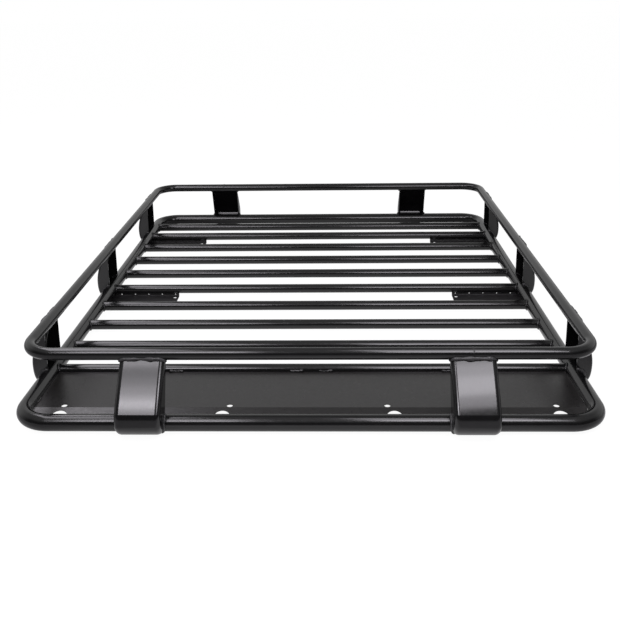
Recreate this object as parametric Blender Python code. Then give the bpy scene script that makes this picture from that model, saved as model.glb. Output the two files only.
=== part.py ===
"""Roof cargo basket: welded tube tray with a raised rail, pressed uprights and a front floor panel.

Frame: origin at the centre of the footprint, on the plane the mounting angles rest on.
+Z is up, -Y is the front of the vehicle, +X is to the right seen from behind the front panel.
Every length is in metres.
"""
import math

import bmesh
import bpy
from mathutils import Matrix, Vector

# ---------------------------------------------------------------- driving dimensions
GAP = 0.0004                    # clearance kept between neighbouring pieces, filled by weld metal
WALL = 0.002                    # tube wall thickness

BASE_Z = 0.0245                 # centre height of the lower tube above the resting plane
LOWER_R = 0.0175                # lower perimeter tube, outer radius
LOWER_X = 0.6025                # lower tube centreline, half width
LOWER_Y = 0.7545                # lower tube centreline, half length
LOWER_BEND = 0.067              # lower tube centreline bend radius

RAIL_R = 0.0129                 # upper rail, outer radius
RAIL_RISE = 0.134               # rail centre above the lower tube centre
RAIL_INSET_SIDE = 0.0109        # rail centreline inside the lower centreline, at the sides
RAIL_INSET_END = 0.0413         # the same at the front and the rear
RAIL_BEND = 0.064               # rail centreline bend radius

SLAT_R = 0.01275
SLAT_Y = (-0.5135, -0.3839, -0.2523, -0.1215, 0.0105, 0.1403, 0.2705, 0.4014, 0.5315, 0.6458)

SHEET = 0.0025                  # pressed upright and angle thickness
UPRIGHT_WIDTH = 0.0945
END_BEND = 0.012                # outer bend radius between web and flange, end uprights
SIDE_BEND = 0.0085              # the same at the side uprights
UPRIGHT_FRONT_X = 0.339         # front uprights, distance from the centre plane
UPRIGHT_REAR_X = 0.3505         # rear uprights, the same
UPRIGHT_SIDE_Y = (-0.506, 0.035, 0.568)
UPRIGHT_INNER_U = -0.0015       # inner edge of the flanges at the lower tube
LOWER_JOINTS = (-UPRIGHT_FRONT_X, UPRIGHT_REAR_X)   # butt joints hidden behind end uprights
RAIL_JOINTS = (UPRIGHT_FRONT_X, -UPRIGHT_REAR_X)

PANEL_SHEET = 0.002
PANEL_SLOPE = math.radians(16.6)
PANEL_FOLD_Y = -0.6917
PANEL_STRIP = 0.059             # length of the sloping front strip
PANEL_SMALL_HOLES = (0.1675, 0.523)
PANEL_SMALL_R = 0.0065
PANEL_SMALL_Y = -0.6837
PANEL_LARGE_HOLES = (0.181, 0.526)
PANEL_LARGE_R = 0.0165
PANEL_LARGE_ALONG = 0.0246      # hole centre down the strip, from the fold
PANEL_DRAIN = (0.482, 0.048, 0.002)   # x, distance down the strip, radius

# label, slat index, inner end, whether the wall has pin holes
ANGLE_PLACES = (("middle", 4, 0.402, True), ("rear", 8, 0.398, False))
ANGLE_FAR = 0.602               # outer end, under the lower tube
ANGLE_REACH = 0.075
ANGLE_HOLES_X = (0.4125, 0.4525, 0.4925, 0.5325, 0.5725)
ANGLE_SLOT_R = 0.0055
ANGLE_PIN_R = 0.0014

# Web outlines as (outward offset, height) from the lower tube centre, in cubic curves.
# The end uprights have a tight bend above the lower tube; the side ones curve evenly.
END_PROFILE = (
    ((-0.0359, 0.1331), (-0.0067, 0.1058), (0.0220, 0.0731), (0.0446, 0.0426)),
    ((0.0446, 0.0426), (0.0455, 0.0414), (0.0464, 0.0393), (0.0469, 0.0380)),
    ((0.0469, 0.0380), (0.0493, 0.0320), (0.0506, 0.0230), (0.0512, 0.0170)),
    ((0.0512, 0.0170), (0.0523, 0.0060), (0.0310, -0.0185), (0.0, -0.0190)),
)
SIDE_PROFILE = (
    ((0.0048, 0.134), (0.0186, 0.099), (0.0355, 0.060), (0.0355, 0.028)),
    ((0.0355, 0.028), (0.0355, -0.010), (0.026, -0.022), (0.0, -0.0205)),
)

TUBE_SIDES = 20
CORNER_STEPS = 7
BEND_STEPS = 3
WEB_STEPS = 16
HOLE_SIDES = 20


# ---------------------------------------------------------------- scene helpers
def clear_scene():
    for obj in list(bpy.data.objects):
        bpy.data.objects.remove(obj, do_unlink=True)
    for block in (bpy.data.meshes, bpy.data.materials):
        for item in list(block):
            block.remove(item)


def make_material(name, color, roughness, metallic=0.0):
    material = bpy.data.materials.new(name)
    material.use_nodes = True
    shader = material.node_tree.nodes["Principled BSDF"]
    shader.inputs["Base Color"].default_value = (*color, 1.0)
    shader.inputs["Roughness"].default_value = roughness
    shader.inputs["Metallic"].default_value = metallic
    return material


def add_object(name, bm, material, smooth=True):
    bmesh.ops.recalc_face_normals(bm, faces=bm.faces)
    mesh = bpy.data.meshes.new(name)
    bm.to_mesh(mesh)
    bm.free()
    mesh.materials.append(material)
    if smooth:
        mesh.shade_smooth()
        mesh.set_sharp_from_angle(angle=math.radians(35.0))
    obj = bpy.data.objects.new(name, mesh)
    bpy.context.scene.collection.objects.link(obj)
    return obj


# ---------------------------------------------------------------- tubes
def ring_vertices(bm, center, right, up, radius):
    vertices = []
    for k in range(TUBE_SIDES):
        angle = 2.0 * math.pi * k / TUBE_SIDES
        offset = right * (radius * math.cos(angle)) + up * (radius * math.sin(angle))
        vertices.append(bm.verts.new(center + offset))
    return vertices


def bridge(bm, first, second):
    for k in range(len(first)):
        nxt = (k + 1) % len(first)
        bm.faces.new((first[k], first[nxt], second[nxt], second[k]))


def swept_tube(bm, path, radius):
    """Hollow tube along a flat path, mitred at every path point, open at both ends."""
    up = Vector((0.0, 0.0, 1.0))
    outer = []
    inner = []
    for i, point in enumerate(path):
        before = (point - path[i - 1]).normalized() if i > 0 else None
        after = (path[i + 1] - point).normalized() if i < len(path) - 1 else None
        tangent = (before or after).normalized()
        if before and after:
            tangent = (before + after).normalized()
            widen = 1.0 / tangent.dot(before)
        else:
            widen = 1.0
        right = tangent.cross(up) * widen
        outer.append(ring_vertices(bm, point, right, up, radius))
        inner.append(ring_vertices(bm, point, right, up, radius - WALL))
    for i in range(len(path) - 1):
        bridge(bm, outer[i], outer[i + 1])
        bridge(bm, inner[i + 1], inner[i])
    bridge(bm, inner[0], outer[0])
    bridge(bm, outer[-1], inner[-1])


def corner_points(center, radius, start_deg, end_deg):
    points = []
    for k in range(CORNER_STEPS + 1):
        angle = math.radians(start_deg + (end_deg - start_deg) * k / CORNER_STEPS)
        points.append(center + Vector((radius * math.cos(angle), radius * math.sin(angle), 0.0)))
    return points


def half_loop(half_x, half_y, bend, height, joint_front, joint_rear):
    """Path of the right half of a rounded loop, from a front joint round to a rear joint."""
    front = Vector((half_x - bend, -half_y + bend, height))
    rear = Vector((half_x - bend, half_y - bend, height))
    path = [Vector((joint_front, -half_y, height))]
    path += corner_points(front, bend, -90.0, 0.0)
    path += corner_points(rear, bend, 0.0, 90.0)
    path.append(Vector((joint_rear, half_y, height)))
    return path


def loop_piece(name, side, size, joints, radius, material):
    """One half of a loop; side is 1 for the right half and -1 for the left one."""
    front, rear = (side * x + GAP / 2.0 for x in joints)
    path = [Vector((side * p.x, p.y, p.z)) for p in half_loop(*size, front, rear)]
    bm = bmesh.new()
    swept_tube(bm, path, radius)
    return add_object(name, bm, material)


def slat_end(z, radius):
    return LOWER_X - math.sqrt((LOWER_R + GAP) ** 2 - (radius * z) ** 2)


def slat(name, y, material):
    """Straight tube whose ends are coped to the round side tubes."""
    bm = bmesh.new()
    shells = []
    for radius in (SLAT_R, SLAT_R - WALL):
        ends = []
        for side in (-1.0, 1.0):
            ring = []
            for k in range(TUBE_SIDES):
                angle = 2.0 * math.pi * k / TUBE_SIDES
                x = side * slat_end(math.sin(angle), radius)
                ring.append(bm.verts.new((x, radius * math.cos(angle), radius * math.sin(angle))))
            ends.append(ring)
        bridge(bm, ends[0], ends[1])
        shells.append(ends)
    bridge(bm, shells[0][0], shells[1][0])
    bridge(bm, shells[0][1], shells[1][1])
    obj = add_object(name, bm, material)
    obj.location = (0.0, y, BASE_Z)
    return obj


# ---------------------------------------------------------------- pressed uprights
def bezier(points, t):
    a, b, c, d = (Vector((p[0], p[1])) for p in points)
    s = 1.0 - t
    position = a * s ** 3 + b * (3.0 * s * s * t) + c * (3.0 * s * t * t) + d * t ** 3
    tangent = (b - a) * (3.0 * s * s) + (c - b) * (6.0 * s * t) + (d - c) * (3.0 * t * t)
    return position, tangent.normalized()


def profile_point(profile, s):
    """Point and inward normal of the web outline, s counting its curves from the rail down."""
    index = min(int(s), len(profile) - 1)
    position, tangent = bezier(profile[index], s - index)
    return position, Vector((tangent.y, -tangent.x))


def column_point(shape, s, theta, inner):
    """Point of the sheet at bend angle theta, on its outer or its inner surface."""
    profile, bend = shape
    position, inward = profile_point(profile, s)
    depth = bend * (1.0 - math.cos(theta))
    if inner:
        depth += SHEET * math.cos(theta)
    return position + inward * depth


def column_range(shape, theta, rail_center):
    """Part of the outline that is clear of both tubes at this bend angle."""
    samples = [k / 400 for k in range(400 * len(shape[0]) + 1)]

    def clear(s):
        for inner in (False, True):
            point = column_point(shape, s, theta, inner)
            if (point - rail_center).length < RAIL_R + GAP or point.length < LOWER_R + GAP * 0.7:
                return False
        return True

    middle = samples.index(0.8)
    low = middle
    while low > 0 and clear(samples[low - 1]):
        low -= 1
    high = middle
    while high < len(samples) - 1 and clear(samples[high + 1]):
        high += 1
    return samples[low], samples[high]


def arc_between(center, radius, start, end, steps):
    """Points on a circle between two points of it, the short way, both ends left out."""
    a0 = math.atan2(start.y - center.y, start.x - center.x)
    a1 = math.atan2(end.y - center.y, end.x - center.x)
    points = []
    for k in range(1, steps):
        angle = a0 + (a1 - a0) * k / steps
        points.append(center + Vector((math.cos(angle), math.sin(angle))) * radius)
    return points


def flange_edge(rail_center, inner_top, top_point, bottom_point):
    """Inner border of a flange: round the rail, down the free edge, round the lower tube."""
    rail_cut = RAIL_R + GAP
    tube_cut = (LOWER_R + GAP) / math.cos(math.radians(7.0))
    lower = Vector((0.0, 0.0))
    drop = math.sqrt(rail_cut ** 2 - (inner_top - rail_center.x) ** 2)
    start = Vector((inner_top, rail_center.y - drop))
    end = Vector((UPRIGHT_INNER_U, math.sqrt(tube_cut ** 2 - UPRIGHT_INNER_U ** 2)))
    edge = arc_between(rail_center, rail_cut / math.cos(math.radians(9.0)), top_point, start, 3)
    edge += [start, end]
    edge += arc_between(lower, tube_cut, end, bottom_point, 10)
    return edge


def upright_mesh(shape, rail_center, inner_top):
    half = UPRIGHT_WIDTH / 2.0
    bend = shape[1]
    bends = [math.radians(90.0 * k / BEND_STEPS) for k in range(BEND_STEPS + 1)]
    columns = [(-1.0, theta) for theta in reversed(bends)] + [(1.0, theta) for theta in bends]
    bm = bmesh.new()
    grids = {}
    for inner in (False, True):
        grid = []
        for side, theta in columns:
            low, high = column_range(shape, theta, rail_center)
            across = half - bend + bend * math.sin(theta)
            if inner:
                across -= SHEET * math.sin(theta)
            column = []
            for k in range(WEB_STEPS + 1):
                s = low + (high - low) * k / WEB_STEPS
                point = column_point(shape, s, theta, inner)
                column.append(bm.verts.new((side * across, point.x, point.y)))
            grid.append(column)
        grids[inner] = grid
        for first, second in zip(grid, grid[1:]):
            for k in range(WEB_STEPS):
                bm.faces.new((first[k], first[k + 1], second[k + 1], second[k]))
    for first, second, outer_first, outer_second in zip(
            grids[True], grids[True][1:], grids[False], grids[False][1:]):
        bm.faces.new((first[0], second[0], outer_second[0], outer_first[0]))
        bm.faces.new((first[-1], outer_first[-1], outer_second[-1], second[-1]))
    for index in (0, -1):
        outer_column = grids[False][index]
        inner_column = grids[True][index]
        top = Vector(outer_column[0].co[1:])
        bottom = Vector(outer_column[-1].co[1:])
        border = flange_edge(rail_center, inner_top, top, bottom)
        outer_edge = [bm.verts.new((outer_column[0].co.x, p.x, p.y)) for p in border]
        inner_edge = [bm.verts.new((inner_column[0].co.x, p.x, p.y)) for p in border]
        bm.faces.new(outer_column[::-1] + outer_edge)
        bm.faces.new(inner_column[::-1] + inner_edge)
        outer_loop = [outer_column[0]] + outer_edge + [outer_column[-1]]
        inner_loop = [inner_column[0]] + inner_edge + [inner_column[-1]]
        for k in range(len(outer_loop) - 1):
            bm.faces.new((outer_loop[k], outer_loop[k + 1], inner_loop[k + 1], inner_loop[k]))
    return bm


def upright(name, kind, location, turn_deg, material):
    """Upright with its web outwards; turn_deg turns the outward direction from +Y."""
    if kind == "end":
        rail_center = Vector((-RAIL_INSET_END, RAIL_RISE))
        bm = upright_mesh((END_PROFILE, END_BEND), rail_center, rail_center.x)
    else:
        rail_center = Vector((-RAIL_INSET_SIDE, RAIL_RISE))
        bm = upright_mesh((SIDE_PROFILE, SIDE_BEND), rail_center, UPRIGHT_INNER_U)
    obj = add_object(name, bm, material)
    obj.location = location
    obj.rotation_euler = (0.0, 0.0, math.radians(turn_deg))
    return obj


# ---------------------------------------------------------------- sheet parts
def add_cylinder(bm, center, axis, radius, length):
    turn = Vector((0.0, 0.0, 1.0)).rotation_difference(axis).to_matrix().to_4x4()
    bmesh.ops.create_cone(
        bm, cap_ends=True, segments=HOLE_SIDES, radius1=radius, radius2=radius, depth=length,
        matrix=Matrix.Translation(center) @ turn)


def cut_holes(obj, bm):
    """Cut the given cylinders out of the object."""
    mesh = bpy.data.meshes.new(obj.name + "_cutter")
    bm.to_mesh(mesh)
    bm.free()
    cutter = bpy.data.objects.new(obj.name + "_cutter", mesh)
    bpy.context.scene.collection.objects.link(cutter)
    cutter.hide_render = True
    cutter.display_type = "WIRE"
    modifier = obj.modifiers.new("holes", "BOOLEAN")
    modifier.operation = "DIFFERENCE"
    modifier.solver = "EXACT"
    modifier.object = cutter


def panel_drop(y):
    return max(PANEL_FOLD_Y - y, 0.0) * math.tan(PANEL_SLOPE)


def panel_half_width(y):
    """Half width of the panel: straight at the sides, then round the bent corner of the tube."""
    drop = panel_drop(y)
    reach = LOWER_R + GAP
    corner_x = LOWER_X - LOWER_BEND
    ahead = -(LOWER_Y - LOWER_BEND) - y
    if ahead <= 0.0:
        return LOWER_X - LOWER_R - GAP
    limit = LOWER_BEND - math.sqrt(max(reach ** 2 - drop ** 2, 0.0))
    return corner_x + math.sqrt(max(limit ** 2 - ahead ** 2, 0.0))


def floor_panel(name, material):
    front_y = PANEL_FOLD_Y - PANEL_STRIP * math.cos(PANEL_SLOPE)
    rear_y = SLAT_Y[0] - SLAT_R - GAP
    rows = [rear_y, -(LOWER_Y - LOWER_BEND), PANEL_FOLD_Y]
    rows += [PANEL_FOLD_Y + (front_y - PANEL_FOLD_Y) * k / 8 for k in range(1, 9)]
    bm = bmesh.new()
    layers = []
    for depth in (0.0, PANEL_SHEET):
        layer = []
        for y in rows:
            width = panel_half_width(y)
            tilt = PANEL_SLOPE if y < PANEL_FOLD_Y else 0.0
            if y == PANEL_FOLD_Y:
                tilt = PANEL_SLOPE / 2.0
            down = depth / math.cos(PANEL_SLOPE / 2.0) if y == PANEL_FOLD_Y else depth
            z = BASE_Z - panel_drop(y) - down * math.cos(tilt)
            shifted = y + down * math.sin(tilt)
            layer.append((bm.verts.new((-width, shifted, z)), bm.verts.new((width, shifted, z))))
        layers.append(layer)
    top, bottom = layers
    for k in range(len(rows) - 1):
        bm.faces.new((top[k][0], top[k + 1][0], top[k + 1][1], top[k][1]))
        bm.faces.new((bottom[k][0], bottom[k][1], bottom[k + 1][1], bottom[k + 1][0]))
        bm.faces.new((top[k][0], bottom[k][0], bottom[k + 1][0], top[k + 1][0]))
        bm.faces.new((top[k][1], top[k + 1][1], bottom[k + 1][1], bottom[k][1]))
    bm.faces.new((top[0][0], top[0][1], bottom[0][1], bottom[0][0]))
    bm.faces.new((top[-1][0], bottom[-1][0], bottom[-1][1], top[-1][1]))
    obj = add_object(name, bm, material)

    slope_axis = Vector((0.0, -math.sin(PANEL_SLOPE), math.cos(PANEL_SLOPE)))

    def on_strip(x, along):
        y = PANEL_FOLD_Y - along * math.cos(PANEL_SLOPE)
        return Vector((x, y, BASE_Z - along * math.sin(PANEL_SLOPE)))

    cutters = bmesh.new()
    for side in (-1.0, 1.0):
        for x in PANEL_SMALL_HOLES:
            center = Vector((side * x, PANEL_SMALL_Y, BASE_Z))
            add_cylinder(cutters, center, Vector((0.0, 0.0, 1.0)), PANEL_SMALL_R, 0.02)
        for x in PANEL_LARGE_HOLES:
            center = on_strip(side * x, PANEL_LARGE_ALONG)
            add_cylinder(cutters, center, slope_axis, PANEL_LARGE_R, 0.02)
    drain_x, drain_along, drain_r = PANEL_DRAIN
    add_cylinder(cutters, on_strip(drain_x, drain_along), slope_axis, drain_r, 0.006)
    cut_holes(obj, cutters)
    return obj


def mounting_angle(name, side, slat_y, near, pinned, material):
    """Folded angle hung under a slat: short upright wall, long flat flange towards the front."""
    rear = 0.0018
    top = BASE_Z - SLAT_R - GAP
    radius = 0.004
    outline = [(rear, top)]
    for k in range(5):
        turn = math.radians(90.0 * k / 4)
        outline.append((rear - radius + radius * math.cos(turn), radius - radius * math.sin(turn)))
    outline += [(-ANGLE_REACH, 0.0), (-ANGLE_REACH, SHEET)]
    for k in range(5):
        turn = math.radians(90.0 * (4 - k) / 4)
        small = radius - SHEET
        outline.append((rear - radius + small * math.cos(turn), radius - small * math.sin(turn)))
    outline.append((rear - SHEET, top))

    bm = bmesh.new()
    ends = []
    for x in (side * near, side * ANGLE_FAR):
        ends.append([bm.verts.new((x, slat_y + y, z)) for y, z in outline])
    bridge(bm, ends[0], ends[1])
    bm.faces.new(ends[0])
    bm.faces.new(ends[1][::-1])
    obj = add_object(name, bm, material)

    cutters = bmesh.new()
    slot = Vector((side * ANGLE_HOLES_X[0], slat_y - 0.012, 0.0))
    add_cylinder(cutters, slot, Vector((0.0, 0.0, 1.0)), ANGLE_SLOT_R, 0.02)
    tube = Vector((side * LOWER_X, slat_y, BASE_Z))
    tube_cut = (LOWER_R + GAP) / math.cos(math.pi / HOLE_SIDES)
    add_cylinder(cutters, tube, Vector((0.0, 1.0, 0.0)), tube_cut, 0.03)
    for x in ANGLE_HOLES_X if pinned else ():
        center = Vector((side * x, slat_y, 0.0078))
        add_cylinder(cutters, center, Vector((0.0, 1.0, 0.0)), ANGLE_PIN_R, 0.012)
    cut_holes(obj, cutters)
    return obj


# ---------------------------------------------------------------- assembly
def build():
    clear_scene()
    lower_coat = make_material("lower_frame_coat", (0.020, 0.020, 0.021), 0.30)
    rail_coat = make_material("rail_coat", (0.020, 0.020, 0.021), 0.28)
    slat_coat = make_material("slat_coat", (0.021, 0.021, 0.022), 0.32)
    upright_coat = make_material("upright_coat", (0.024, 0.024, 0.025), 0.36)
    panel_coat = make_material("panel_coat", (0.030, 0.030, 0.032), 0.45)
    angle_coat = make_material("angle_coat", (0.022, 0.022, 0.023), 0.42)

    lower_size = (LOWER_X, LOWER_Y, LOWER_BEND, BASE_Z)
    rail_size = (LOWER_X - RAIL_INSET_SIDE, LOWER_Y - RAIL_INSET_END, RAIL_BEND, BASE_Z + RAIL_RISE)
    for label, side in (("left", -1.0), ("right", 1.0)):
        loop_piece("lower_frame_" + label, side, lower_size, LOWER_JOINTS, LOWER_R, lower_coat)
        loop_piece("upper_rail_" + label, side, rail_size, RAIL_JOINTS, RAIL_R, rail_coat)

    for number, y in enumerate(SLAT_Y, start=1):
        slat("slat_%02d" % number, y, slat_coat)

    for label, side in (("left", -1.0), ("right", 1.0)):
        front = (side * UPRIGHT_FRONT_X, -LOWER_Y, BASE_Z)
        rear = (side * UPRIGHT_REAR_X, LOWER_Y, BASE_Z)
        upright("upright_front_" + label, "end", front, 180.0, upright_coat)
        upright("upright_rear_" + label, "end", rear, 0.0, upright_coat)
        for number, y in enumerate(UPRIGHT_SIDE_Y, start=1):
            name = "upright_side_%s_%d" % (label, number)
            upright(name, "side", (side * LOWER_X, y, BASE_Z), -90.0 * side, upright_coat)
        for place, index, near, pinned in ANGLE_PLACES:
            name = "mounting_angle_%s_%s" % (place, label)
            mounting_angle(name, side, SLAT_Y[index], near, pinned, angle_coat)

    floor_panel("floor_panel", panel_coat)


build()
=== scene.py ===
"""Looks for the roof cargo basket: black powder-coated tray of tube, pressed uprights and welds.

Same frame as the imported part: metres, +Z up, -Y the front, origin on the plane the tray rests on.
"""
import math

import bmesh
import bpy
from mathutils import Matrix, Vector, noise


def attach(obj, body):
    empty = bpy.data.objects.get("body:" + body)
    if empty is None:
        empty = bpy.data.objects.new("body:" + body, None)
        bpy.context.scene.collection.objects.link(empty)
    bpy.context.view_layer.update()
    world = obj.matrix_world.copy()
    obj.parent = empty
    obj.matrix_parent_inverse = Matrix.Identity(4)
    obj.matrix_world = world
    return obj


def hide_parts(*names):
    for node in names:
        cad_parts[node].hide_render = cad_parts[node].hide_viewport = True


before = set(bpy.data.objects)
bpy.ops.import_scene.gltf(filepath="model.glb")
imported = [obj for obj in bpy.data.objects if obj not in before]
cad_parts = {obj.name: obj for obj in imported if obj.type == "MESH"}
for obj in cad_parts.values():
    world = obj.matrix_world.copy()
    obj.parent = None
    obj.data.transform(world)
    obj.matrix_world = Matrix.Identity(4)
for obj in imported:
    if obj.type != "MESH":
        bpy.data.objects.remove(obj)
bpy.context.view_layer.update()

# ---------------------------------------------------------------- dimensions, as in the part
GAP = 0.0004
WALL = 0.002
BASE_Z = 0.0245
LOWER_R = 0.0175
LOWER_X = 0.6025
LOWER_Y = 0.7545
LOWER_BEND = 0.067
RAIL_R = 0.0129
RAIL_RISE = 0.134
RAIL_INSET_SIDE = 0.0109
RAIL_INSET_END = 0.0413
RAIL_BEND = 0.064
SLAT_R = 0.01275
SLAT_Y = (-0.5135, -0.3839, -0.2523, -0.1215, 0.0105, 0.1403, 0.2705, 0.4014, 0.5315, 0.6458)
SHEET = 0.0025
UPRIGHT_WIDTH = 0.0945
END_BEND = 0.012
SIDE_BEND = 0.0085
UPRIGHT_FRONT_X = 0.339
UPRIGHT_REAR_X = 0.3505
UPRIGHT_SIDE_Y = (-0.506, 0.035, 0.568)
UPRIGHT_INNER_U = -0.0015
LOWER_JOINTS = (-UPRIGHT_FRONT_X, UPRIGHT_REAR_X)
RAIL_JOINTS = (UPRIGHT_FRONT_X, -UPRIGHT_REAR_X)
PANEL_SHEET = 0.002
PANEL_SLOPE = math.radians(16.6)
PANEL_FOLD_Y = -0.6917
PANEL_STRIP = 0.059
PANEL_SMALL_HOLES = (0.1675, 0.523)
PANEL_SMALL_R = 0.0065
PANEL_SMALL_Y = -0.6837
PANEL_LARGE_HOLES = (0.181, 0.526)
PANEL_LARGE_R = 0.0165
PANEL_LARGE_ALONG = 0.0246
PANEL_DRAIN = (0.482, 0.048, 0.002)
ANGLE_PLACES = (("middle", 4, 0.402, True), ("rear", 8, 0.398, False))
ANGLE_FAR = 0.602
ANGLE_REACH = 0.075
ANGLE_HOLES_X = (0.4125, 0.4525, 0.4925, 0.5325, 0.5725)
ANGLE_SLOT_R = 0.0055
ANGLE_PIN_R = 0.0014
END_PROFILE = (
    ((-0.0359, 0.1331), (-0.0067, 0.1058), (0.0220, 0.0731), (0.0446, 0.0426)),
    ((0.0446, 0.0426), (0.0455, 0.0414), (0.0464, 0.0393), (0.0469, 0.0380)),
    ((0.0469, 0.0380), (0.0493, 0.0320), (0.0506, 0.0230), (0.0512, 0.0170)),
    ((0.0512, 0.0170), (0.0523, 0.0060), (0.0310, -0.0185), (0.0, -0.0190)),
)
SIDE_PROFILE = (
    ((0.0048, 0.134), (0.0186, 0.099), (0.0355, 0.060), (0.0355, 0.028)),
    ((0.0355, 0.028), (0.0355, -0.010), (0.026, -0.022), (0.0, -0.0205)),
)

# ---------------------------------------------------------------- mesh resolution and weld sizes
TUBE_SIDES = 56
CORNER_STEPS = 22
SLAT_SIDES = 48
BEND_STEPS = 6
WEB_STEPS = 64
HOLE_SIDES = 40
BEAD_SIDES = 9
BEAD_RING_STEPS = 48
BEAD_STEP = 0.0009
BEAD_RIPPLE = 0.0031
OUTLINE_STEPS = 400          # samples per outline curve when looking for the part clear of the tubes
CUT_EDGE = 0.0003            # bevel on the cut edges of sheet parts
SLAT_BEAD_LIFT = 0.0007      # centre of a slat's weld, outside both tube surfaces
SLAT_BEAD_R = 0.0023
JOINT_BEAD_R = 0.0017
END_TOP_BEAD_R = 0.0041
SIDE_TOP_BEAD_R = 0.0026
FOOT_BEAD_R = 0.0032
PANEL_REAR_BEADS = ((-0.328, -0.294), (-0.047, -0.015), (0.020, 0.053), (0.302, 0.325))
PANEL_REAR_BEAD_R = 0.0029
PANEL_FRONT_BEADS = (0.12, 0.30, 0.47)
PANEL_FRONT_BEAD_LENGTH = 0.035
PANEL_FRONT_BEAD_R = 0.0022
PANEL_SIDE_BEAD = (-0.672, -0.652)
PANEL_SIDE_BEAD_R = 0.0020
ANGLE_BEADS = (0.420, 0.545)
ANGLE_BEAD_LENGTH = 0.026
ANGLE_BEAD_R = 0.0020


# ---------------------------------------------------------------- materials
def powder_coat(name, base, roughness, peel, peel_scale=420.0, variation=0.25):
    """Black powder coat: faint tone and gloss variation, and orange-peel relief in the surface."""
    material = bpy.data.materials.new(name)
    material.use_nodes = True
    nodes = material.node_tree.nodes
    links = material.node_tree.links
    shader = nodes["Principled BSDF"]
    shader.inputs["Metallic"].default_value = 0.0
    shader.inputs["IOR"].default_value = 1.5
    coords = nodes.new("ShaderNodeTexCoord")

    def noise_node(scale, detail, rough=0.5):
        node = nodes.new("ShaderNodeTexNoise")
        node.inputs["Scale"].default_value = scale
        node.inputs["Detail"].default_value = detail
        node.inputs["Roughness"].default_value = rough
        links.new(coords.outputs["Object"], node.inputs["Vector"])
        return node

    tone = noise_node(55.0, 6.0, 0.65)
    ramp = nodes.new("ShaderNodeValToRGB")
    ramp.color_ramp.elements[0].position = 0.30
    ramp.color_ramp.elements[1].position = 0.72
    ramp.color_ramp.elements[0].color = (*[c * (1.0 - variation) for c in base], 1.0)
    ramp.color_ramp.elements[1].color = (*[c * (1.0 + variation) for c in base], 1.0)
    links.new(tone.outputs["Fac"], ramp.inputs["Fac"])
    links.new(ramp.outputs["Color"], shader.inputs["Base Color"])

    gloss = noise_node(130.0, 5.0, 0.6)
    spread = nodes.new("ShaderNodeMapRange")
    spread.inputs["From Min"].default_value = 0.3
    spread.inputs["From Max"].default_value = 0.7
    spread.inputs["To Min"].default_value = roughness * 0.85
    spread.inputs["To Max"].default_value = roughness * 1.18
    links.new(gloss.outputs["Fac"], spread.inputs["Value"])
    links.new(spread.outputs["Result"], shader.inputs["Roughness"])

    relief = noise_node(peel_scale, 2.5, 0.45)
    grit = noise_node(peel_scale * 3.4, 2.0, 0.5)
    mix = nodes.new("ShaderNodeMath")
    mix.operation = "MULTIPLY_ADD"
    mix.inputs[1].default_value = 0.35
    links.new(grit.outputs["Fac"], mix.inputs[0])
    links.new(relief.outputs["Fac"], mix.inputs[2])
    bump = nodes.new("ShaderNodeBump")
    bump.inputs["Strength"].default_value = 1.0
    bump.inputs["Distance"].default_value = peel
    links.new(mix.outputs["Value"], bump.inputs["Height"])
    links.new(bump.outputs["Normal"], shader.inputs["Normal"])
    return material


# ---------------------------------------------------------------- objects
def finish_piece(name, bm, material, nodes, smooth_deg=35.0):
    """Turn a bmesh into a shown piece that rides on the one body and stands for its CAD nodes."""
    bmesh.ops.recalc_face_normals(bm, faces=bm.faces)
    mesh = bpy.data.meshes.new(name)
    bm.to_mesh(mesh)
    bm.free()
    mesh.materials.append(material)
    mesh.shade_smooth()
    mesh.set_sharp_from_angle(angle=math.radians(smooth_deg))
    obj = bpy.data.objects.new(name, mesh)
    bpy.context.scene.collection.objects.link(obj)
    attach(obj, "root")
    if nodes:
        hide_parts(*nodes)
    return obj


def soften_edges(obj, width):
    """Break the cut edges of a sheet part and keep its flat faces flat in shading."""
    bevel = obj.modifiers.new("edge", "BEVEL")
    bevel.width = width
    bevel.segments = 2
    bevel.limit_method = "ANGLE"
    bevel.angle_limit = math.radians(50.0)
    bevel.harden_normals = False
    weighted = obj.modifiers.new("normals", "WEIGHTED_NORMAL")
    weighted.keep_sharp = False
    weighted.weight = 60


# ---------------------------------------------------------------- tubes
def ring_vertices(bm, center, right, up, radius, sides):
    vertices = []
    for k in range(sides):
        angle = 2.0 * math.pi * k / sides
        offset = right * (radius * math.cos(angle)) + up * (radius * math.sin(angle))
        vertices.append(bm.verts.new(center + offset))
    return vertices


def bridge(bm, first, second):
    for k in range(len(first)):
        nxt = (k + 1) % len(first)
        bm.faces.new((first[k], first[nxt], second[nxt], second[k]))


def swept_tube(bm, path, radius, sides):
    """Hollow tube along a flat path, open at both ends."""
    up = Vector((0.0, 0.0, 1.0))
    outer = []
    inner = []
    for i, point in enumerate(path):
        before = (point - path[i - 1]).normalized() if i > 0 else None
        after = (path[i + 1] - point).normalized() if i < len(path) - 1 else None
        tangent = before or after
        if before and after:
            tangent = (before + after).normalized()
        right = tangent.cross(up)
        outer.append(ring_vertices(bm, point, right, up, radius, sides))
        inner.append(ring_vertices(bm, point, right, up, radius - WALL, sides))
    for i in range(len(path) - 1):
        bridge(bm, outer[i], outer[i + 1])
        bridge(bm, inner[i + 1], inner[i])
    bridge(bm, inner[0], outer[0])
    bridge(bm, outer[-1], inner[-1])


def corner_points(center, radius, start_deg, end_deg):
    points = []
    for k in range(CORNER_STEPS + 1):
        angle = math.radians(start_deg + (end_deg - start_deg) * k / CORNER_STEPS)
        points.append(center + Vector((radius * math.cos(angle), radius * math.sin(angle), 0.0)))
    return points


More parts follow.
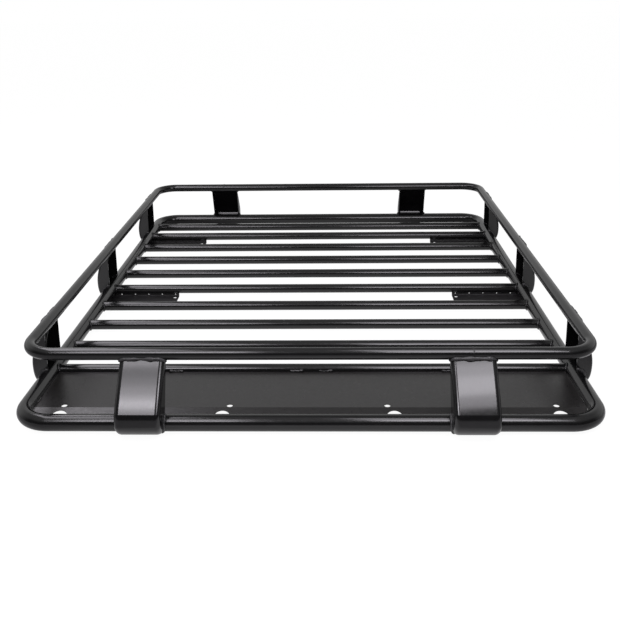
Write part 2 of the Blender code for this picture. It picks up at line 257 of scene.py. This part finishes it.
def half_loop(half_x, half_y, bend, height, joint_front, joint_rear):
    front = Vector((half_x - bend, -half_y + bend, height))
    rear = Vector((half_x - bend, half_y - bend, height))
    path = [Vector((joint_front, -half_y, height))]
    path += corner_points(front, bend, -90.0, 0.0)
    path += corner_points(rear, bend, 0.0, 90.0)
    path.append(Vector((joint_rear, half_y, height)))
    return path


def loop_piece(name, side, size, joints, radius, material, node):
    front, rear = (side * x + GAP / 2.0 for x in joints)
    path = [Vector((side * p.x, p.y, p.z)) for p in half_loop(*size, front, rear)]
    bm = bmesh.new()
    swept_tube(bm, path, radius, TUBE_SIDES)
    return finish_piece(name, bm, material, [node])


def slat_end(z, clearance):
    return LOWER_X - math.sqrt((LOWER_R + clearance) ** 2 - z ** 2)


def slat_piece(name, y, material, node):
    bm = bmesh.new()
    shells = []
    for radius in (SLAT_R, SLAT_R - WALL):
        ends = []
        for side in (-1.0, 1.0):
            ring = []
            for k in range(SLAT_SIDES):
                angle = 2.0 * math.pi * k / SLAT_SIDES
                z = radius * math.sin(angle)
                x = side * slat_end(z, GAP)
                ring.append(bm.verts.new((x, y + radius * math.cos(angle), BASE_Z + z)))
            ends.append(ring)
        bridge(bm, ends[0], ends[1])
        shells.append(ends)
    bridge(bm, shells[0][0], shells[1][0])
    bridge(bm, shells[0][1], shells[1][1])
    return finish_piece(name, bm, material, [node])


# ---------------------------------------------------------------- pressed uprights
def bezier(points, t):
    a, b, c, d = (Vector((p[0], p[1])) for p in points)
    s = 1.0 - t
    position = a * s ** 3 + b * (3.0 * s * s * t) + c * (3.0 * s * t * t) + d * t ** 3
    tangent = (b - a) * (3.0 * s * s) + (c - b) * (6.0 * s * t) + (d - c) * (3.0 * t * t)
    return position, tangent.normalized()


def column_point(profile, bend, s, theta, inner):
    """Point of the sheet at bend angle theta, s counting the outline's curves from the rail down."""
    index = min(int(s), len(profile) - 1)
    position, tangent = bezier(profile[index], s - index)
    inward = Vector((tangent.y, -tangent.x))
    depth = bend * (1.0 - math.cos(theta))
    if inner:
        depth += SHEET * math.cos(theta)
    return position + inward * depth


def column_range(profile, bend, theta, rail_center):
    """Part of the outline that is clear of both tubes at this bend angle."""
    samples = [k / OUTLINE_STEPS for k in range(OUTLINE_STEPS * len(profile) + 1)]

    def clear(s):
        for inner in (False, True):
            point = column_point(profile, bend, s, theta, inner)
            if (point - rail_center).length < RAIL_R + GAP or point.length < LOWER_R + GAP * 0.7:
                return False
        return True

    low = high = samples.index(0.8)
    while low > 0 and clear(samples[low - 1]):
        low -= 1
    while high < len(samples) - 1 and clear(samples[high + 1]):
        high += 1
    return samples[low], samples[high]


def arc_between(center, radius, start, end, steps):
    a0 = math.atan2(start.y - center.y, start.x - center.x)
    a1 = math.atan2(end.y - center.y, end.x - center.x)
    points = []
    for k in range(1, steps):
        angle = a0 + (a1 - a0) * k / steps
        points.append(center + Vector((math.cos(angle), math.sin(angle))) * radius)
    return points


class Upright:
    """One pressed channel in its own frame: x across, y outwards from the lower tube, z up."""

    def __init__(self, kind):
        inset = RAIL_INSET_END if kind == "end" else RAIL_INSET_SIDE
        self.profile = END_PROFILE if kind == "end" else SIDE_PROFILE
        self.bend = END_BEND if kind == "end" else SIDE_BEND
        self.rail = Vector((-inset, RAIL_RISE))
        self.inner_top = self.rail.x if kind == "end" else UPRIGHT_INNER_U
        bends = [math.radians(90.0 * k / BEND_STEPS) for k in range(BEND_STEPS + 1)]
        self.columns = [(-1.0, theta) for theta in reversed(bends)]
        self.columns += [(1.0, theta) for theta in bends]
        self.ranges = {}
        for theta in bends:
            self.ranges[theta] = column_range(self.profile, self.bend, theta, self.rail)

    def grid(self, inner):
        grid = []
        half = UPRIGHT_WIDTH / 2.0
        for side, theta in self.columns:
            low, high = self.ranges[theta]
            across = half - self.bend + self.bend * math.sin(theta)
            if inner:
                across -= SHEET * math.sin(theta)
            column = []
            for k in range(WEB_STEPS + 1):
                s = low + (high - low) * k / WEB_STEPS
                point = column_point(self.profile, self.bend, s, theta, inner)
                column.append(Vector((side * across, point.x, point.y)))
            grid.append(column)
        return grid

    def border(self, top, bottom):
        """Inner border of a flange: round the rail, down the free edge, round the lower tube."""
        rail_cut = RAIL_R + GAP
        tube_cut = LOWER_R + GAP
        drop = math.sqrt(rail_cut ** 2 - (self.inner_top - self.rail.x) ** 2)
        start = Vector((self.inner_top, self.rail.y - drop))
        end = Vector((UPRIGHT_INNER_U, math.sqrt(tube_cut ** 2 - UPRIGHT_INNER_U ** 2)))
        upper = arc_between(self.rail, rail_cut, top, start, 12) + [start]
        lower = [end] + arc_between(Vector((0.0, 0.0)), tube_cut, end, bottom, 28)
        return upper, lower

    def mesh(self):
        bm = bmesh.new()
        grids = {}
        for inner in (False, True):
            grids[inner] = [[bm.verts.new(p) for p in column] for column in self.grid(inner)]
            for first, second in zip(grids[inner], grids[inner][1:]):
                for k in range(WEB_STEPS):
                    bm.faces.new((first[k], first[k + 1], second[k + 1], second[k]))
        for first, second, outer_first, outer_second in zip(
                grids[True], grids[True][1:], grids[False], grids[False][1:]):
            bm.faces.new((first[0], second[0], outer_second[0], outer_first[0]))
            bm.faces.new((first[-1], outer_first[-1], outer_second[-1], second[-1]))
        for index in (0, -1):
            outer_column = grids[False][index]
            inner_column = grids[True][index]
            first, last = (Vector(outer_column[k].co[1:]) for k in (0, -1))
            upper, lower = self.border(first, last)
            border = upper + lower
            outer_edge = [bm.verts.new((outer_column[0].co.x, p.x, p.y)) for p in border]
            inner_edge = [bm.verts.new((inner_column[0].co.x, p.x, p.y)) for p in border]
            bm.faces.new(outer_column[::-1] + outer_edge)
            bm.faces.new(inner_column[::-1] + inner_edge)
            outer_loop = [outer_column[0]] + outer_edge + [outer_column[-1]]
            inner_loop = [inner_column[0]] + inner_edge + [inner_column[-1]]
            for k in range(len(outer_loop) - 1):
                bm.faces.new((outer_loop[k], outer_loop[k + 1], inner_loop[k + 1], inner_loop[k]))
        return bm

    def bead_paths(self):
        """Centre lines of the two welds: round the rail at the top, round the lower tube below."""
        grid = self.grid(False)
        upper, lower = self.border(Vector(grid[0][0][1:]), Vector(grid[0][-1][1:]))
        half = UPRIGHT_WIDTH / 2.0 + 0.0006

        def seat(point, center, radius, lift):
            direction = (point - center).normalized()
            direction.rotate(Matrix.Rotation(lift, 2))
            return center + direction * radius

        top = [Vector((-half, *seat(p, self.rail, RAIL_R + 0.0008, 0.0))) for p in reversed(upper)]
        for column in grid:
            flat = seat(Vector(column[0][1:]), self.rail, RAIL_R + 0.0013, math.radians(7.0))
            top.append(Vector((column[0].x, *flat)))
        top += [Vector((half, *seat(p, self.rail, RAIL_R + 0.0008, 0.0))) for p in upper]

        zero = Vector((0.0, 0.0))
        bottom = [Vector((-half, *seat(p, zero, LOWER_R + 0.0010, 0.0))) for p in lower]
        for column in grid:
            flat = seat(Vector(column[-1][1:]), zero, LOWER_R + 0.0012, math.radians(-5.0))
            bottom.append(Vector((column[-1].x, *flat)))
        bottom += [Vector((half, *seat(p, zero, LOWER_R + 0.0010, 0.0))) for p in reversed(lower)]
        return top, bottom


def upright_places():
    """Name, kind and placing matrix of every upright."""
    places = []
    for label, side in (("left", -1.0), ("right", 1.0)):
        places.append(("front_" + label, "end", (side * UPRIGHT_FRONT_X, -LOWER_Y), 180.0))
        places.append(("rear_" + label, "end", (side * UPRIGHT_REAR_X, LOWER_Y), 0.0))
        for number, y in enumerate(UPRIGHT_SIDE_Y, start=1):
            name = "side_%s_%d" % (label, number)
            places.append((name, "side", (side * LOWER_X, y), -90.0 * side))
    result = []
    for name, kind, (x, y), turn in places:
        matrix = Matrix.Translation((x, y, BASE_Z)) @ Matrix.Rotation(math.radians(turn), 4, "Z")
        result.append((name, kind, matrix))
    return result


# ---------------------------------------------------------------- sheet parts from a flat blank
def circle_points(x, s, radius):
    return [(x + radius * math.cos(2.0 * math.pi * k / HOLE_SIDES),
             s + radius * math.sin(2.0 * math.pi * k / HOLE_SIDES)) for k in range(HOLE_SIDES)]


def folded_sheet(name, outline, holes, cuts, fold, thickness, material, node):
    """Flat blank with holes, split along the lines it bends on, folded, then given its thickness."""
    bm = bmesh.new()
    edges = []
    for loop in [outline] + holes:
        ring = [bm.verts.new((x, s, 0.0)) for x, s in loop]
        for k in range(len(ring)):
            edges.append(bm.edges.new((ring[k], ring[(k + 1) % len(ring)])))
    bmesh.ops.triangle_fill(bm, use_beauty=True, use_dissolve=False, edges=edges,
                            normal=(0.0, 0.0, 1.0))
    for s in cuts:
        geometry = bm.verts[:] + bm.edges[:] + bm.faces[:]
        bmesh.ops.bisect_plane(bm, geom=geometry, plane_co=(0.0, s, 0.0), plane_no=(0.0, 1.0, 0.0))
    for vertex in bm.verts:
        vertex.co = fold(vertex.co.x, vertex.co.y)
    bm.normal_update()
    upward = sum(face.normal.z * face.calc_area() for face in bm.faces)
    if upward < 0.0:
        bmesh.ops.reverse_faces(bm, faces=bm.faces)
    mesh = bpy.data.meshes.new(name)
    bm.to_mesh(mesh)
    bm.free()
    mesh.materials.append(material)
    mesh.shade_smooth()
    obj = bpy.data.objects.new(name, mesh)
    bpy.context.scene.collection.objects.link(obj)
    solidify = obj.modifiers.new("sheet", "SOLIDIFY")
    solidify.thickness = thickness
    solidify.offset = -1.0
    solidify.use_even_offset = True
    soften_edges(obj, CUT_EDGE)
    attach(obj, "root")
    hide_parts(node)
    return obj


def panel_half_width(y):
    drop = max(PANEL_FOLD_Y - y, 0.0) * math.tan(PANEL_SLOPE)
    ahead = -(LOWER_Y - LOWER_BEND) - y
    if ahead <= 0.0:
        return LOWER_X - LOWER_R - GAP
    limit = LOWER_BEND - math.sqrt(max((LOWER_R + GAP) ** 2 - drop ** 2, 0.0))
    return LOWER_X - LOWER_BEND + math.sqrt(max(limit ** 2 - ahead ** 2, 0.0))


def floor_panel(material):
    """s runs forward from the rear edge; the strip beyond the fold slopes down to the front tube."""
    rear_y = SLAT_Y[0] - SLAT_R - GAP
    flat = rear_y - PANEL_FOLD_Y
    radius = 0.005
    tangent = radius * math.tan(PANEL_SLOPE / 2.0)
    arc = radius * PANEL_SLOPE
    start = flat - tangent

    def fold(x, s):
        if s <= start:
            return Vector((x, rear_y - s, BASE_Z))
        turn = min((s - start) / radius, PANEL_SLOPE)
        rest = max(s - start - arc, 0.0)
        y = rear_y - start - radius * math.sin(turn) - rest * math.cos(turn)
        z = BASE_Z - radius * (1.0 - math.cos(turn)) - rest * math.sin(turn)
        return Vector((x, y, z))

    end = start + arc + PANEL_STRIP - tangent
    samples = [LOWER_Y - LOWER_BEND + rear_y] + [start + (end - start) * k / 24 for k in range(25)]
    samples = sorted(set([0.0] + samples))
    right = [(panel_half_width(fold(0.0, s).y), s) for s in samples]
    outline = right + [(-x, s) for x, s in reversed(right)]

    holes = []
    for side in (-1.0, 1.0):
        for x in PANEL_SMALL_HOLES:
            holes.append(circle_points(side * x, rear_y - PANEL_SMALL_Y, PANEL_SMALL_R))
        for x in PANEL_LARGE_HOLES:
            s = start + arc + PANEL_LARGE_ALONG - tangent
            holes.append(circle_points(side * x, s, PANEL_LARGE_R))
    drain_x, drain_along, drain_r = PANEL_DRAIN
    holes.append(circle_points(drain_x, start + arc + drain_along - tangent, drain_r))
    cuts = [start + arc * k / 4 for k in range(5)]
    return folded_sheet("panel_sheet", outline, holes, cuts, fold, PANEL_SHEET, material,
                        "floor_panel")


def mounting_angle(name, side, slat_y, inner, pinned, material, node):
    """s runs down the short wall, round the fold and forward along the flange; top face shown up.

    The wall is cut out round the lower tube at its outer end.
    """
    wall_top = BASE_Z - SLAT_R - GAP
    front = slat_y + 0.0018 - SHEET
    radius = 0.0015
    start = wall_top - SHEET - radius
    arc = radius * math.pi / 2.0

    def fold(x, s):
        if s <= start:
            return Vector((x, front, wall_top - s))
        turn = min((s - start) / radius, math.pi / 2.0)
        rest = max(s - start - arc, 0.0)
        y = front - radius * (1.0 - math.cos(turn)) - rest
        z = SHEET + radius * (1.0 - math.sin(turn))
        return Vector((x, y, z))

    end = start + arc + (front - radius - (slat_y - ANGLE_REACH))
    near, far = side * inner, side * ANGLE_FAR
    reach = LOWER_R + GAP
    tube_drop = BASE_Z - wall_top
    first = math.acos(tube_drop / reach)
    last = math.asin((LOWER_X - ANGLE_FAR) / reach)
    cope = []
    for k in range(13):
        turn = first + (last - first) * k / 12
        x = side * (LOWER_X - reach * math.sin(turn))
        cope.append((x, reach * math.cos(turn) - tube_drop))
    outline = [(near, 0.0)] + cope + [(far, end), (near, end)]
    holes = [circle_points(side * ANGLE_HOLES_X[0], start + arc + 0.0098, ANGLE_SLOT_R)]
    for x in ANGLE_HOLES_X if pinned else ():
        holes.append(circle_points(side * x, wall_top - 0.0078, ANGLE_PIN_R))
    cuts = [start + arc * k / 5 for k in range(6)]
    return folded_sheet(name, outline, holes, cuts, fold, SHEET, material, node)


# ---------------------------------------------------------------- weld beads
def resample(path, step, closed):
    points = list(path) + ([path[0]] if closed else [])
    lengths = [0.0]
    for a, b in zip(points, points[1:]):
        lengths.append(lengths[-1] + (b - a).length)
    count = max(int(lengths[-1] / step), 4)
    result = []
    index = 0
    for k in range(count if closed else count + 1):
        target = lengths[-1] * k / count
        while index < len(points) - 2 and lengths[index + 1] < target:
            index += 1
        span = max(lengths[index + 1] - lengths[index], 1e-9)
        result.append(points[index].lerp(points[index + 1], (target - lengths[index]) / span))
    return result


def add_bead(bm, path, radius, seed, closed=False, lumpy=0.2, blob=0.0):
    """Rippled, slightly uneven bead of weld metal along a path; open beads taper at their ends."""
    points = resample(path, BEAD_STEP, closed)
    count = len(points)
    rings = []
    normal = None
    for i, point in enumerate(points):
        if closed:
            tangent = (points[(i + 1) % count] - points[i - 1]).normalized()
        else:
            tangent = (points[min(i + 1, count - 1)] - points[max(i - 1, 0)]).normalized()
        if normal is None:
            normal = tangent.orthogonal().normalized()
        normal = (normal - tangent * normal.dot(tangent)).normalized()
        side = tangent.cross(normal)
        along = i * BEAD_STEP
        wander = noise.noise(Vector((along * 160.0, seed * 3.7, 1.5)))
        swell = noise.noise(Vector((along * 75.0, seed * 5.1, 8.5)))
        ripple = math.sin(2.0 * math.pi * along / BEAD_RIPPLE + 2.0 * wander)
        size = radius * (1.0 + 0.10 * ripple + lumpy * swell)
        if not closed:
            edge = min(i, count - 1 - i) * BEAD_STEP / (radius * 1.5)
            size *= math.sqrt(max(1.0 - (1.0 - min(edge, 1.0)) ** 2, 0.04))
            size += blob * math.exp(-(min(i, count - 1 - i) * BEAD_STEP / 0.0035 - 0.9) ** 2)
        center = point + (normal * wander + side * swell) * (radius * 0.12)
        ring = []
        for k in range(BEAD_SIDES):
            angle = 2.0 * math.pi * k / BEAD_SIDES
            cosine, sine = math.cos(angle), math.sin(angle)
            pit = noise.noise(Vector((along * 420.0, cosine * 1.7 + seed, sine * 1.7)))
            reach = size * (1.0 + 0.10 * pit)
            ring.append(bm.verts.new(center + (normal * cosine + side * sine) * reach))
        rings.append(ring)
    for first, second in zip(rings, rings[1:]):
        bridge(bm, first, second)
    if closed:
        # the frame carried round the loop may have turned: join with the nearest start vertex
        offsets = range(BEAD_SIDES)
        best = min(offsets, key=lambda o: (rings[0][o].co - rings[-1][0].co).length)
        bridge(bm, rings[-1], rings[0][best:] + rings[0][:best])
    else:
        bm.faces.new(rings[0][::-1])
        bm.faces.new(rings[-1])


def bead_piece(name, beads, material):
    """One piece holding several beads, each (path, radius, seed, options)."""
    bm = bmesh.new()
    for path, radius, seed, options in beads:
        add_bead(bm, path, radius, seed, **options)
    return finish_piece(name, bm, material, [], smooth_deg=70.0)


def slat_beads(side):
    beads = []
    for index, y in enumerate(SLAT_Y):
        radius = SLAT_R + SLAT_BEAD_LIFT
        ring = []
        for k in range(BEAD_RING_STEPS):
            angle = 2.0 * math.pi * k / BEAD_RING_STEPS
            z = radius * math.sin(angle)
            x = side * slat_end(z, SLAT_BEAD_LIFT)
            ring.append(Vector((x, y + radius * math.cos(angle), BASE_Z + z)))
        beads.append((ring, SLAT_BEAD_R, 20.0 + index + side * 0.5, {"closed": True}))
    return beads


def joint_ring(x, y, z, radius, seed):
    ring = []
    for k in range(BEAD_RING_STEPS):
        angle = 2.0 * math.pi * k / BEAD_RING_STEPS
        ring.append(Vector((x, y + radius * math.cos(angle), z + radius * math.sin(angle))))
    return (ring, JOINT_BEAD_R, seed, {"closed": True, "lumpy": 0.35})


def stitch(start, end, radius, seed, **options):
    a, b = Vector(start), Vector(end)
    return ([a.lerp(b, k / 6) for k in range(7)], radius, seed, options)


def bend_marks(half_x, half_y, bend, z, radius, seed):
    """Short rough creases on top of the tube where the rear bends begin."""
    beads = []
    for side in (-1.0, 1.0):
        for part in range(3):
            x0 = half_x - bend - 0.030 + part * 0.017
            top = z + radius * math.cos(math.radians(16.0)) - 0.0004
            y = half_y - radius * math.sin(math.radians(16.0))
            beads.append(stitch((side * x0, y, top), (side * (x0 + 0.012), y + 0.001, top),
                                0.0010, seed + part + side, lumpy=0.9))
    return beads


# ---------------------------------------------------------------- build the pieces
lower_coat = powder_coat("lower_frame_coat", (0.0048, 0.0047, 0.0050), 0.16, 0.000008)
rail_coat = powder_coat("rail_coat", (0.0048, 0.0047, 0.0050), 0.15, 0.000008)
slat_coat = powder_coat("slat_coat", (0.0048, 0.0047, 0.0050), 0.17, 0.000008)
upright_coat = powder_coat("upright_coat", (0.0052, 0.0050, 0.0054), 0.125, 0.000007)
panel_coat = powder_coat("panel_coat", (0.0100, 0.0092, 0.0092), 0.31, 0.000007, 300.0, 0.15)
# painted light: the same black powder coat as the tubes with its base made four times lighter, so
# the angles' flanges read as lit from above
angle_coat = powder_coat("angle_coat", (0.0190, 0.0185, 0.0190), 0.42, 0.000016)
weld_coat = powder_coat("weld_coat", (0.0060, 0.0060, 0.0064), 0.20, 0.00002, 700.0)
# painted highlight: the same black powder coat with a base six times lighter, so the welds at the
# tops and feet of the uprights show bright as where they catch the light
seam_coat_painted_highlight = powder_coat("seam_coat_painted_highlight", (0.0300, 0.0295, 0.0310), 0.34, 0.00004, 500.0, 0.5)

lower_size = (LOWER_X, LOWER_Y, LOWER_BEND, BASE_Z)
rail_size = (LOWER_X - RAIL_INSET_SIDE, LOWER_Y - RAIL_INSET_END, RAIL_BEND, BASE_Z + RAIL_RISE)
for label, side in (("right", 1.0), ("left", -1.0)):
    loop_piece("lower_tube_" + label, side, lower_size, LOWER_JOINTS, LOWER_R,
               lower_coat, "lower_frame_" + label)
    loop_piece("rail_tube_" + label, side, rail_size, RAIL_JOINTS, RAIL_R,
               rail_coat, "upper_rail_" + label)

for number, y in enumerate(SLAT_Y, start=1):
    slat_piece("slat_tube_%02d" % number, y, slat_coat, "slat_%02d" % number)

shapes = {kind: Upright(kind) for kind in ("end", "side")}
top_beads = []
foot_beads = []
for number, (name, kind, matrix) in enumerate(upright_places()):
    bm = shapes[kind].mesh()
    bm.transform(matrix)
    piece = finish_piece("pressing_" + name, bm, upright_coat, ["upright_" + name])
    soften_edges(piece, CUT_EDGE)
    top, bottom = shapes[kind].bead_paths()
    top_radius = END_TOP_BEAD_R if kind == "end" else SIDE_TOP_BEAD_R
    top_beads.append(([matrix @ p for p in top], top_radius, 40.0 + number, {"lumpy": 0.6}))
    foot_beads.append(([matrix @ p for p in bottom], FOOT_BEAD_R, 60.0 + number,
                       {"lumpy": 0.35, "blob": 0.0016}))
bead_piece("weld_upright_tops", top_beads, seam_coat_painted_highlight)
bead_piece("weld_upright_feet", foot_beads, seam_coat_painted_highlight)
bead_piece("weld_slat_ends_left", slat_beads(-1.0), weld_coat)
bead_piece("weld_slat_ends_right", slat_beads(1.0), weld_coat)

floor_panel(panel_coat)
for place, index, inner, pinned in ANGLE_PLACES:
    for label, side in (("left", -1.0), ("right", 1.0)):
        node = "mounting_angle_%s_%s" % (place, label)
        mounting_angle("angle_%s_%s" % (place, label), side, SLAT_Y[index], inner, pinned,
                       angle_coat, node)

panel_beads = []
seam_y = SLAT_Y[0] - SLAT_R - 0.0002
seam_z = BASE_Z + 0.0014
for seed, (x0, x1) in enumerate(PANEL_REAR_BEADS):
    panel_beads.append(stitch((x0, seam_y, seam_z), (x1, seam_y, seam_z), PANEL_REAR_BEAD_R,
                              80.0 + seed, lumpy=0.7, blob=0.0010))
for side in (-1.0, 1.0):
    for seed, x in enumerate(PANEL_FRONT_BEADS):
        y = PANEL_FOLD_Y - PANEL_STRIP * math.cos(PANEL_SLOPE) - 0.0008
        z = BASE_Z - PANEL_STRIP * math.sin(PANEL_SLOPE) - 0.0022
        panel_beads.append(stitch((side * x, y, z), (side * (x + PANEL_FRONT_BEAD_LENGTH), y, z),
                                  PANEL_FRONT_BEAD_R, 90.0 + seed + side))
    edge_x = side * (LOWER_X - LOWER_R - 0.0003)
    y0, y1 = PANEL_SIDE_BEAD
    panel_beads.append(stitch((edge_x, y0, BASE_Z + 0.0006), (edge_x, y1, BASE_Z + 0.0006),
                              PANEL_SIDE_BEAD_R, 97.0 + side, lumpy=0.5))
bead_piece("weld_panel", panel_beads, weld_coat)

angle_beads = []
for place, index, inner, pinned in ANGLE_PLACES:
    for side in (-1.0, 1.0):
        for seed, x in enumerate(ANGLE_BEADS):
            for face, y in ((-1.0, SLAT_Y[index] - 0.0009), (1.0, SLAT_Y[index] + 0.0018)):
                z = BASE_Z - SLAT_R - 0.0004
                angle_beads.append(stitch((side * x, y, z), (side * (x + ANGLE_BEAD_LENGTH), y, z),
                                          ANGLE_BEAD_R, 110.0 + seed + index + side + face * 0.3))
bead_piece("weld_angles", angle_beads, weld_coat)

ring_sink = 0.0009
joint_beads = [
    joint_ring(LOWER_JOINTS[0], -LOWER_Y, BASE_Z, LOWER_R - ring_sink, 130.0),
    joint_ring(LOWER_JOINTS[1], LOWER_Y, BASE_Z, LOWER_R - ring_sink, 131.0),
    joint_ring(RAIL_JOINTS[0], -rail_size[1], rail_size[3], RAIL_R - ring_sink, 132.0),
    joint_ring(RAIL_JOINTS[1], rail_size[1], rail_size[3], RAIL_R - ring_sink, 133.0),
]
bead_piece("weld_joints", joint_beads, weld_coat)
crease_beads = bend_marks(*lower_size, LOWER_R, 140.0) + bend_marks(*rail_size, RAIL_R, 150.0)
bead_piece("bend_marks", crease_beads, weld_coat)


# ---------------------------------------------------------------- stage, light and camera
FLOOR_GLOW = 0.965
FLOOR_TONE = 0.08
POOL_GLOW = 0.46
POOL_TONE = 0.34
POOL_R = 0.93
POOL_Y = -0.10
SOFTBOX_COLOR = (1.0, 0.965, 1.03)
SENSOR_MM = 36.0
FOCAL_PX = 820.0             # focal length of the fitted camera, in pixels of the picture
PICTURE_PX = 620.0
CAMERA_TURNS = (-0.0291, 0.2569, -0.0142)      # yaw, pitch down and roll, radians
CAMERA_PLACE = (0.0555, -2.2572, 0.8649 + BASE_Z)


def make_floor():
    bm = bmesh.new()
    bmesh.ops.create_grid(bm, x_segments=1, y_segments=1, size=20.0)
    mesh = bpy.data.meshes.new("floor")
    bm.to_mesh(mesh)
    bm.free()
    floor = bpy.data.objects.new("floor", mesh)
    floor.location = (0.0, 0.0, -0.0005)
    bpy.context.scene.collection.objects.link(floor)
    material = bpy.data.materials.new("pale_floor")
    material.use_nodes = True
    nodes = material.node_tree.nodes
    links = material.node_tree.links
    shader = nodes["Principled BSDF"]
    shader.inputs["Roughness"].default_value = 0.9
    shader.inputs["Specular IOR Level"].default_value = 0.0
    shader.inputs["Emission Color"].default_value = (1.0, 1.0, 1.0, 1.0)

    # a pool of light round the tray, which the gloss shows; the camera sees the floor evenly pale
    coords = nodes.new("ShaderNodeTexCoord")
    place = nodes.new("ShaderNodeMapping")
    place.vector_type = "TEXTURE"
    place.inputs["Location"].default_value = (0.0, POOL_Y, 0.0)
    place.inputs["Scale"].default_value = (POOL_R, POOL_R, 1.0)
    links.new(coords.outputs["Object"], place.inputs["Vector"])
    pool = nodes.new("ShaderNodeTexGradient")
    pool.gradient_type = "SPHERICAL"
    links.new(place.outputs["Vector"], pool.inputs["Vector"])
    glow = nodes.new("ShaderNodeMapRange")
    glow.inputs["From Max"].default_value = 0.12
    glow.inputs["To Min"].default_value = 0.04
    glow.inputs["To Max"].default_value = POOL_GLOW
    links.new(pool.outputs["Fac"], glow.inputs["Value"])
    path = nodes.new("ShaderNodeLightPath")
    strength = nodes.new("ShaderNodeMix")
    strength.inputs["B"].default_value = FLOOR_GLOW
    links.new(path.outputs["Is Camera Ray"], strength.inputs["Factor"])
    links.new(glow.outputs["Result"], strength.inputs["A"])
    links.new(strength.outputs["Result"], shader.inputs["Emission Strength"])
    tone = nodes.new("ShaderNodeMix")
    tone.data_type = "RGBA"
    tone.inputs["A"].default_value = (POOL_TONE, POOL_TONE, POOL_TONE, 1.0)
    tone.inputs["B"].default_value = (FLOOR_TONE, FLOOR_TONE, FLOOR_TONE, 1.0)
    links.new(path.outputs["Is Camera Ray"], tone.inputs["Factor"])
    links.new(tone.outputs["Result"], shader.inputs["Base Color"])
    mesh.materials.append(material)


def make_world():
    """White studio: dark band at the front horizon, brighter low wall behind, dim ceiling."""
    world = bpy.data.worlds.new("studio")
    bpy.context.scene.world = world
    world.use_nodes = True
    nodes = world.node_tree.nodes
    links = world.node_tree.links
    background = nodes["Background"]
    coords = nodes.new("ShaderNodeTexCoord")
    split = nodes.new("ShaderNodeSeparateXYZ")
    links.new(coords.outputs["Generated"], split.inputs["Vector"])

    def ramp(stops):
        node = nodes.new("ShaderNodeValToRGB")
        while len(node.color_ramp.elements) > 1:
            node.color_ramp.elements.remove(node.color_ramp.elements[-1])
        for k, (position, value) in enumerate(stops):
            elements = node.color_ramp.elements
            element = elements[0] if k == 0 else elements.new(position)
            element.position = position
            element.color = (value, value, value, 1.0)
        links.new(split.outputs["Z"], node.inputs["Fac"])
        return node

    front = ramp(((0.0, 0.06), (0.40, 0.06), (0.75, 0.45), (1.0, 0.50)))
    rear = ramp(((0.0, 0.65), (0.50, 0.65), (0.70, 0.36), (0.90, 0.36), (1.0, 0.50)))
    blend = nodes.new("ShaderNodeMapRange")
    blend.inputs["From Min"].default_value = -0.25
    blend.inputs["From Max"].default_value = 0.35
    links.new(split.outputs["Y"], blend.inputs["Value"])
    mix = nodes.new("ShaderNodeMix")
    mix.data_type = "RGBA"
    links.new(blend.outputs["Result"], mix.inputs["Factor"])
    links.new(front.outputs["Color"], mix.inputs["A"])
    links.new(rear.outputs["Color"], mix.inputs["B"])
    path = nodes.new("ShaderNodeLightPath")
    seen = nodes.new("ShaderNodeMix")
    seen.data_type = "RGBA"
    seen.inputs["B"].default_value = (1.0, 1.0, 1.0, 1.0)
    links.new(path.outputs["Is Camera Ray"], seen.inputs["Factor"])
    links.new(mix.outputs["Result"], seen.inputs["A"])
    links.new(seen.outputs["Result"], background.inputs["Color"])
    background.inputs["Strength"].default_value = 1.0


def softbox(name, position, target, width, rows, spin_deg=0.0):
    """Soft light built of rows (low, high, radiance); radiance is what its reflection shows."""
    aim = (Vector(target) - Vector(position)).to_track_quat("-Z", "Y").to_matrix()
    aim = aim @ Matrix.Rotation(math.radians(spin_deg), 3, "Z")
    for number, (low, high, radiance) in enumerate(rows, start=1):
        light = bpy.data.lights.new("%s_%d" % (name, number), "AREA")
        light.shape = "RECTANGLE"
        light.size = width
        light.size_y = high - low
        light.energy = radiance * math.pi * width * (high - low)
        light.color = SOFTBOX_COLOR
        obj = bpy.data.objects.new(light.name, light)
        obj.location = Vector(position) + aim @ Vector((0.0, (low + high) / 2.0, 0.0))
        obj.rotation_euler = aim.to_euler()
        obj.visible_camera = False
        bpy.context.scene.collection.objects.link(obj)


def make_camera():
    yaw, pitch, roll = CAMERA_TURNS
    forward = Vector((math.sin(yaw) * math.cos(pitch), math.cos(yaw) * math.cos(pitch),
                      -math.sin(pitch)))
    level = Vector((math.cos(yaw), -math.sin(yaw), 0.0))
    above = level.cross(forward)
    right = level * math.cos(roll) + above * math.sin(roll)
    up = above * math.cos(roll) - level * math.sin(roll)
    camera = bpy.data.objects.new("camera", bpy.data.cameras.new("camera"))
    camera.data.sensor_width = SENSOR_MM
    camera.data.lens = SENSOR_MM * FOCAL_PX / PICTURE_PX
    camera.data.shift_y = -0.1774
    matrix = Matrix((right, up, -forward)).transposed().to_4x4()
    matrix.translation = Vector(CAMERA_PLACE)
    camera.matrix_world = matrix
    camera.data.clip_end = 60.0
    bpy.context.scene.collection.objects.link(camera)
    bpy.context.scene.camera = camera


make_floor()
make_world()
softbox("softbox_left", (-0.74, -1.92, 1.50), (-0.74, -0.50, 0.0), 0.82,
        ((-0.42, -0.32, 3.2), (-0.32, -0.22, 4.4), (-0.22, -0.17, 6.5), (-0.17, -0.06, 13.0),
         (-0.06, 0.02, 8.6), (0.02, 0.16, 5.8), (0.16, 0.28, 4.0), (0.28, 0.46, 2.9),
         (0.46, 0.65, 6.4)))
softbox("softbox_right", (0.47, -1.12, 1.08), (0.47, -0.33, 0.0), 0.62,
        ((-0.46, -0.34, 5.0), (-0.34, -0.18, 9.4), (-0.18, -0.06, 7.0), (-0.06, 0.06, 4.4),
         (0.06, 0.46, 4.2)), spin_deg=9.0)
softbox("strip_left", (-1.19, 0.20, 2.02), (-1.19, 0.2001, 0.0), 0.70,
        ((-1.25, 1.25, 4.3),), spin_deg=16.6)
make_camera()
bpy.context.scene.view_settings.view_transform = "Standard"

bpy.context.view_layer.update()
